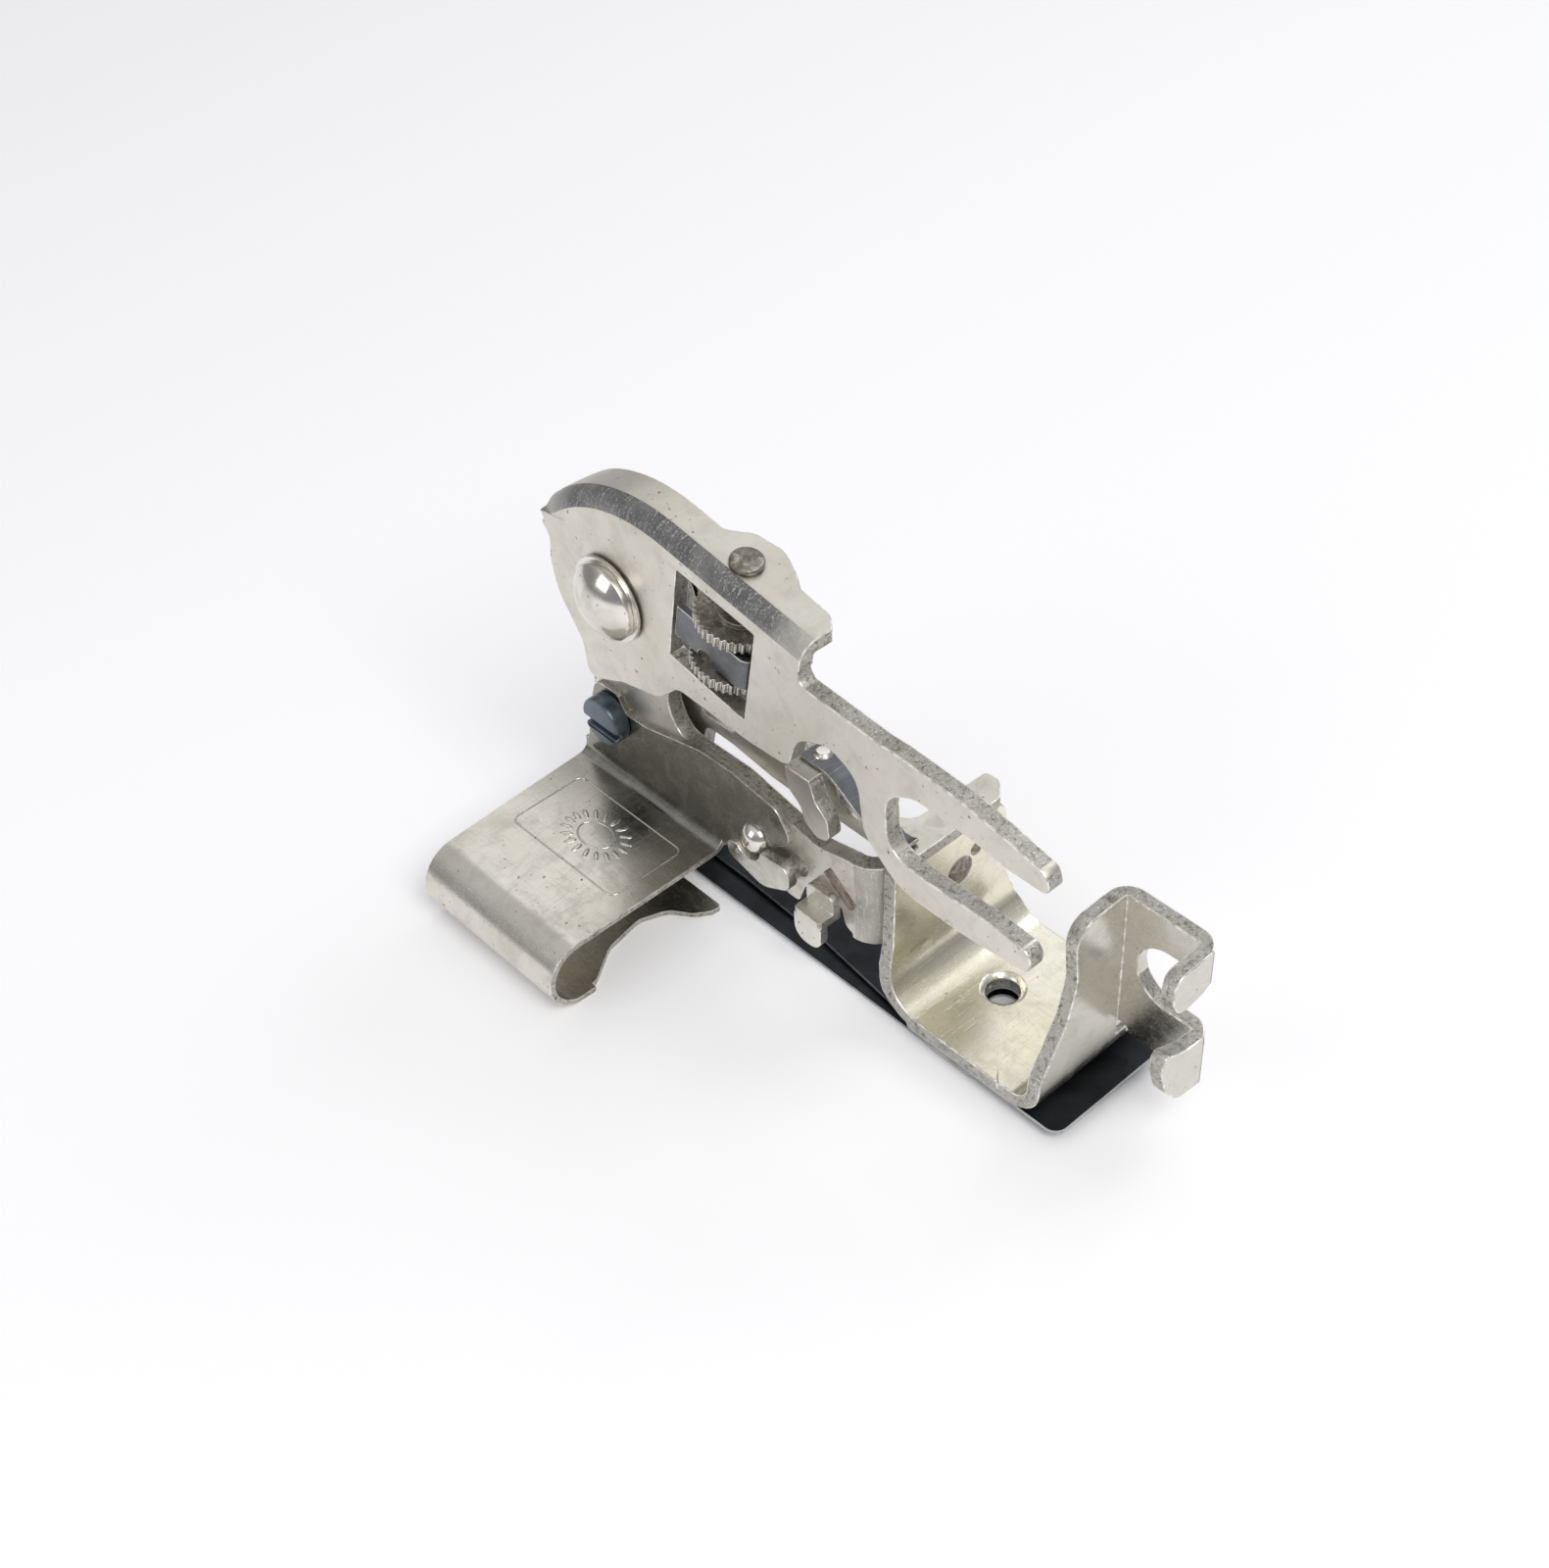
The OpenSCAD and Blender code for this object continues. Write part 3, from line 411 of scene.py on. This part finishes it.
# each frame part's body, sheet thickness and arris width in mm, and finishes
# the edge is finished as the face, and the rim is rubbed, unless the entry says otherwise
partFinish = {
    "fork_lever": {"body": "lever", "sheet": 1.5, "face": "lever", "edge": "sheared", "arris": 0.10},
    "frame_plate": {"body": "frame", "sheet": 1.4, "face": "plate", "edge": "sheared", "arris": 0.10},
    "presser_foot": {"body": "frame", "sheet": 1.5, "face": "foot", "edge": "sheared", "arris": 0.11},
    "cloth_guide": {"body": "frame", "sheet": 0.7, "face": "guide", "edge": "sheared", "arris": 0.06},
    "blade_carrier": {"body": "carrier", "sheet": 1.2, "face": "carrier", "edge": "sheared", "arris": 0.08},
    "hem_lug": {"body": "frame", "sheet": 0.9, "face": "trim", "edge": "sheared", "arris": 0.06},
    "stop_leaf": {"body": "frame", "sheet": 0.8, "face": "trim", "edge": "sheared", "arris": 0.05},
    "return_spring": {"body": "carrier", "sheet": 0.4, "face": "block", "edge": "sheared", "arris": 0.03},
    "ruffling_blade": {"body": "blade", "sheet": 0.3, "face": "blade", "edge": "bladeEdge",
                       "rim": "bladeEdge", "arris": 0.02},
    "separator_blade": {"body": "frame", "sheet": 0.3, "face": "blade", "edge": "bladeEdge",
                        "rim": "bladeEdge", "arris": 0.02},
    "sole_plate": {"body": "frame", "sheet": 0.35, "face": "blade", "edge": "bladeEdge",
                   "rim": "bladeEdge", "arris": 0.03},
    "pivot_stud": {"body": "frame", "face": "dome", "arris": 0.05},
    "stud_washer": {"body": "frame", "face": "trim", "arris": 0.05},
    "spacer_washer": {"body": "frame", "face": "trim", "arris": 0.05},
    "inner_washer": {"body": "frame", "face": "trim", "arris": 0.05},
    "foot_rivet_large": {"body": "frame", "face": "disc", "arris": 0.05},
    "foot_rivet_small": {"body": "frame", "face": "disc", "rim": "disc", "arris": 0.03},
    "guide_rivet": {"body": "frame", "face": "dome", "arris": 0.05},
    "guide_screw": {"body": "frame", "face": "screw", "rim": "screw", "arris": 0.24},
    "leaf_pin": {"body": "frame", "face": "disc", "arris": 0.03},
    "staked_tenon": {"body": "frame", "face": "stake", "rim": "stake", "arris": 0.05},
    "separator_rivet_front": {"body": "frame", "face": "trim", "arris": 0.04},
    "separator_rivet_rear": {"body": "frame", "face": "trim", "arris": 0.04},
    "spring_rivet": {"body": "carrier", "face": "trim", "arris": 0.04},
    "blade_rivet": {"body": "blade", "face": "disc", "arris": 0.04},
    "stop_block": {"body": "block", "face": "block", "arris": 0.06},
    "regulating_nut": {"body": "nut", "face": "disc", "arris": 0.03},
}
leverLow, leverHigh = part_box("fork_lever")
foldFrom = leverHigh.x / mm - 1.62  # the fold's band starts at this X
# where a bend has its own finish, from a face's normal n and centre c in mm
bands = {
    "fork_lever": {"finish": "foldBand",
                   "where": lambda n, c: (0.12 < n.x < 0.995 and c.x > foldFrom
                                          and (n.z > 0.05 or n.y < -0.5))},
    "frame_plate": {"finish": "bendBand", "where": lambda n, c: 0.05 < n.x < 0.99 and n.y > 0.05},
}
cutBacks = {"fork_lever": leverLow.y / mm + 0.4}
for node, look in partFinish.items():
    dressedPart(node, look, bands.get(node), cutBacks.get(node))
print("stage: frame parts dressed")


def newTree(name, inputs):
    tree = bpy.data.node_groups.new(name, "GeometryNodeTree")
    tree.interface.new_socket("Geometry", in_out="INPUT", socket_type="NodeSocketGeometry")
    for label, value in inputs.items():
        tree.interface.new_socket(label, in_out="INPUT", socket_type="NodeSocketFloat").default_value = value
    tree.interface.new_socket("Geometry", in_out="OUTPUT", socket_type="NodeSocketGeometry")
    start = tree.nodes.new("NodeGroupInput")
    wires = {socket.name: Wire(tree, socket) for socket in start.outputs if socket.name}
    return tree, Wire(tree), wires


def closeTree(tree, base, geometry, material):
    real = base.make("GeometryNodeRealizeInstances", None, {0: geometry})
    done = base.make("GeometryNodeSetMaterial", None, {"Geometry": real, "Material": material})
    end = tree.nodes.new("NodeGroupOutput")
    tree.links.new(done.socket, end.inputs[0])


# runs a tree on a mesh and leaves a plain one, turned and placed in its vertices
def growPiece(name, tree, values, place, body, source=None):
    piece = newPiece(name, source or bpy.data.meshes.new(name + "_seed"))
    mod = piece.modifiers.new("grow", "NODES")
    mod.node_group = tree
    for item in tree.interface.items_tree:
        if item.in_out == "INPUT" and item.name in values:
            mod[item.identifier] = values[item.name]
    grown = plainMesh(piece)
    grown.transform(place)
    piece.data = grown
    bm = bmesh.new()
    bm.from_mesh(grown)
    bmesh.ops.remove_doubles(bm, verts=bm.verts, dist=1e-7)
    bmesh.ops.recalc_face_normals(bm, faces=bm.faces)
    for face in bm.faces:
        face.smooth = True
    bm.to_mesh(grown)
    bm.free()
    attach(piece, body)


# the nut's axis carries the screw too
nutJoint = next(j for j in frame["joints"] if j["name"] == "nut_turn")
screwAxis = Vector(nutJoint["axis"]).normalized()
screwTurn = screwAxis.to_track_quat("Z", "Y").to_matrix().to_4x4()
onScrew = Matrix.Translation(Vector(nutJoint["pos_m"])) @ screwTurn

# radii and heights in mm, with 0 at the underside of the head
# the ridge stands proudRadii of its own radii proud of the root
screwLook = {"crest": 1.2, "root": 1.03, "pitch": 0.5, "threadFrom": -12.7, "threadTo": -1.5, "tail": -12.8,
             "chamfer": 0.25, "headRadius": 1.28, "headHeight": 0.34, "proudRadii": 1.3}

# one ridge wound round the screw
tree, base, wire = newTree("wound_ridge", {"Radius": 1.0, "Height": 1.0, "Turns": 10.0, "Ridge": 0.1})
path = base.make("GeometryNodeCurveSpiral", None,
                 {"Resolution": 28, "Rotations": wire["Turns"], "Start Radius": wire["Radius"],
                  "End Radius": wire["Radius"], "Height": wire["Height"]})
ridge = base.make("GeometryNodeCurvePrimitiveCircle", {"mode": "RADIUS"},
                  {"Resolution": 6, "Radius": wire["Ridge"]})
thread = base.make("GeometryNodeCurveToMesh", None,
                   {"Curve": path, "Profile Curve": ridge, "Fill Caps": True})
closeTree(tree, base, thread, mats["disc"])
threadLength = screwLook["threadTo"] - screwLook["threadFrom"]
ridgeRadius = (screwLook["crest"] - screwLook["root"]) / screwLook["proudRadii"]
growPiece("screw_thread", tree,
          {"Radius": (screwLook["crest"] - ridgeRadius) * mm, "Height": threadLength * mm,
           "Turns": threadLength / screwLook["pitch"], "Ridge": ridgeRadius * mm},
          onScrew @ Matrix.Translation((0, 0, screwLook["threadFrom"] * mm)), "lever")


# a shape turned round Z from (radius, height) pairs in mm
def turnedMesh(name, outline, sides=64):
    bm = bmesh.new()
    rings = []
    for radius, height in outline:
        if radius == 0:
            rings.append([bm.verts.new((0, 0, height * mm))])
            continue
        angles = [2 * math.pi * i / sides for i in range(sides)]
        rings.append([bm.verts.new((radius * mm * math.cos(a), radius * mm * math.sin(a), height * mm))
                      for a in angles])
    for a, b in zip(rings, rings[1:]):
        for i in range(sides):
            j = (i + 1) % sides
            corners = [a[i % len(a)], a[j % len(a)], b[j % len(b)], b[i % len(b)]]
            bm.faces.new(list(dict.fromkeys(corners)))
    bmesh.ops.recalc_face_normals(bm, faces=bm.faces)
    for face in bm.faces:
        face.smooth = True
    mesh = bpy.data.meshes.new(name)
    bm.to_mesh(mesh)
    bm.free()
    return mesh


crest, core, tail = screwLook["crest"], screwLook["root"], screwLook["tail"]
head, top = screwLook["headRadius"], screwLook["headHeight"]
screwOutline = [
    (0, tail), (core - screwLook["chamfer"], tail), (core, tail + screwLook["chamfer"]),
    (core, screwLook["threadTo"]), (crest, screwLook["threadTo"] + 0.05), (crest, 0.0),
    (head, 0.0), (head + 0.02, 0.12), (head - 0.03, top - 0.09), (head - 0.12, top - 0.01), (head - 0.3, top),
    (head * 0.5, top - 0.02), (0.16, top - 0.05), (0, top - 0.05),
]
coreMesh = turnedMesh("screw_core", screwOutline)
coreMesh.transform(onScrew)
coreMesh.set_sharp_from_angle(angle=math.radians(40))
coreMesh.materials.append(mats["disc"])
screwCore = newPiece("screw_core", coreMesh)
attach(screwCore, "lever")
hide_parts("regulating_screw")
print("stage: screw and thread")


def pathMesh(name, loops):
    mesh = bpy.data.meshes.new(name)
    points, edges = [], []
    for loop in loops:
        first = len(points)
        points += [(x * mm, y * mm, 0) for x, y in loop]
        edges += [(first + i, first + (i + 1) % len(loop)) for i in range(len(loop))]
    mesh.from_pydata(points, edges, [])
    return mesh


def oval(x, y, radiusX, radiusY, count):
    angles = [2 * math.pi * i / count for i in range(count)]
    return [(x + radiusX * math.cos(a), y + radiusY * math.sin(a)) for a in angles]


def roundedRectangle(x0, x1, y0, y1, r, steps=8):
    corners = ((x1 - r, y1 - r, 0), (x0 + r, y1 - r, 90), (x0 + r, y0 + r, 180), (x1 - r, y0 + r, 270))
    loop = []
    for x, y, start in corners:
        turns = [math.radians(start + 90 * i / steps) for i in range(steps + 1)]
        loop += [(x + r * math.cos(a), y + r * math.sin(a)) for a in turns]
    return loop


# raised beading on the guide's top plate: a plain border round a ring and a wreath of leaves, in mm
beadLook = {"x": (9.7, 16.9), "y": (-38.2, -25.6), "corner": 0.7, "bead": 0.09, "sunk": 0.02,
            "wreath": (2.0, 2.9), "innerRing": 0.62, "leaves": 18, "leaf": 0.3, "leafScale": (1.9, 0.75, 0.3)}
(x0, x1), (y0, y1) = beadLook["x"], beadLook["y"]
middleX, middleY = (x0 + x1) / 2, (y0 + y1) / 2
guideShape = bmesh.new()
guideShape.from_mesh(cadNodes["cloth_guide"].data)
above = Vector((middleX * mm, middleY * mm, 0.1))
guideTop = BVHTree.FromBMesh(guideShape).ray_cast(above, Vector((0, 0, -1)))[0].z
guideShape.free()
onGuide = Matrix.Translation((0, 0, guideTop - beadLook["sunk"] * mm))
wreathX, wreathY = beadLook["wreath"]

tree, base, wire = newTree("beading", {"Bead": 0.0001})
path = base.make("GeometryNodeMeshToCurve", None, {"Mesh": wire["Geometry"]})
bead = base.make("GeometryNodeCurvePrimitiveCircle", {"mode": "RADIUS"},
                 {"Resolution": 8, "Radius": wire["Bead"]})
beading = base.make("GeometryNodeCurveToMesh", None, {"Curve": path, "Profile Curve": bead})
closeTree(tree, base, beading, mats["beading"])
border = roundedRectangle(x0, x1, y0, y1, beadLook["corner"])
ring = oval(middleX, middleY, wreathX * beadLook["innerRing"], wreathY * beadLook["innerRing"], 48)
growPiece("guide_beading", tree, {"Bead": beadLook["bead"] * mm}, onGuide, "frame",
          pathMesh("beading_path", [border, ring]))

tree, base, wire = newTree("leaf_wreath", {"Leaf": 0.0003})
spots = base.make("GeometryNodeMeshToPoints", {"mode": "VERTICES"}, {"Mesh": wire["Geometry"]})
leafShape = base.make("GeometryNodeMeshIcoSphere", None, {"Radius": wire["Leaf"], "Subdivisions": 3})
centre = base.make("GeometryNodeInputPosition")
middle = (middleX * mm, middleY * mm, 0)
outward = base.make("ShaderNodeVectorMath", {"operation": "SUBTRACT"}, {0: centre, 1: middle})
turned = base.make("FunctionNodeAlignRotationToVector", {"axis": "X"}, {"Vector": outward})
leaves = base.make("GeometryNodeInstanceOnPoints", None,
                   {"Points": spots, "Instance": leafShape, "Rotation": turned,
                    "Scale": beadLook["leafScale"]})
closeTree(tree, base, leaves, mats["beading"])
growPiece("guide_wreath", tree, {"Leaf": beadLook["leaf"] * mm}, onGuide, "frame",
          pathMesh("wreath_path", [oval(middleX, middleY, wreathX, wreathY, beadLook["leaves"])]))
print("stage: beading")


floorLook = {"size": 8.0, "drop": 0.00002, "colour": (0.93, 0.93, 0.955), "roughness": 0.9, "glow": 0.06}
floorMesh = bpy.data.meshes.new("floor")
half = floorLook["size"] / 2
low = cadBox[0].z - floorLook["drop"]
floorMesh.from_pydata([(-half, -half, low), (half, -half, low), (half, half, low), (-half, half, low)], [],
                      [(0, 1, 2, 3)])
floor = newPiece("floor", floorMesh)
floorMaterial = bpy.data.materials.new("paper")
floorMaterial.use_nodes = True
paper = floorMaterial.node_tree.nodes["Principled BSDF"].inputs
paper["Base Color"].default_value = (*floorLook["colour"], 1)
paper["Roughness"].default_value = floorLook["roughness"]
paper["Emission Color"].default_value = (1, 1, 1, 1)
paper["Emission Strength"].default_value = floorLook["glow"]
floorMesh.materials.append(floorMaterial)

worldLook = {"walls": (0.45, 0.45, 0.47), "ceiling": (1.0, 1.0, 1.0), "wallTo": 0.35, "ceilingFrom": 0.8,
             "strength": 0.62}
world = bpy.data.worlds.new("studio")
bpy.context.scene.world = world
world.use_nodes = True
sky = Wire(world.node_tree)
facing = sky.make("ShaderNodeTexCoord", out="Generated")
upward = alongAxis(sky, facing, 2)
room = upward + (noise(sky, facing, 1.6, 2, 0.5) - 0.5) * 0.5
height = room.step(worldLook["wallTo"], worldLook["ceilingFrom"])
shade = mixColour(height, worldLook["walls"], worldLook["ceiling"])
background = world.node_tree.nodes["Background"]
world.node_tree.links.new(shade.socket, background.inputs["Color"])
background.inputs["Strength"].default_value = worldLook["strength"]

lightLook = {
    "key": {"at": (0.10, 0.30, 0.42), "aim": (0.0, -0.01, 0.012), "size": 0.28, "watts": 1.3,
            "colour": (1.0, 0.985, 0.95)},
    "window": {"at": (-0.34, 0.02, 0.32), "aim": (0.0, -0.01, 0.01), "size": 0.22, "watts": 0.35,
               "colour": (0.95, 0.98, 1.0)},
    "behind": {"at": (-0.26, -0.32, 0.38), "aim": (0.0, -0.01, 0.01), "size": 0.34, "watts": 0.17,
               "colour": (1.0, 1.0, 1.0)},
    "fill": {"at": (0.36, -0.12, 0.22), "aim": (0.0, -0.01, 0.015), "size": 0.2, "watts": 0.2,
             "colour": (1.0, 1.0, 1.0)},
}
for name, look in lightLook.items():
    lamp = bpy.data.lights.new(name, "AREA")
    lamp.energy, lamp.size, lamp.color = look["watts"], look["size"], look["colour"]
    holder = newPiece(name, lamp)
    holder.location = look["at"]
    holder.rotation_euler = (Vector(look["aim"]) - Vector(look["at"])).to_track_quat("-Z", "Y").to_euler()

cameraLook = {"at": (0.0904, 0.0805, 0.1350), "lens": 53.8, "nearest": 0.005,
              "right": (-0.7316, 0.6802, -0.0451), "up": (-0.4853, -0.4733, 0.7352),
              "back": (0.4787, 0.5597, 0.6764)}
cameraData = bpy.data.cameras.new("camera")
cameraData.lens, cameraData.sensor_width, cameraData.sensor_fit = cameraLook["lens"], 36, "AUTO"
cameraData.clip_start = cameraLook["nearest"]
camera = newPiece("camera", cameraData)
turn = Matrix((cameraLook["right"], cameraLook["up"], cameraLook["back"])).transposed()
camera.matrix_world = Matrix.Translation(cameraLook["at"]) @ turn.to_4x4()
bpy.context.scene.camera = camera
bpy.context.scene.view_settings.view_transform = "Standard"
print("stage: floor, light and camera")

bpy.context.view_layer.update()
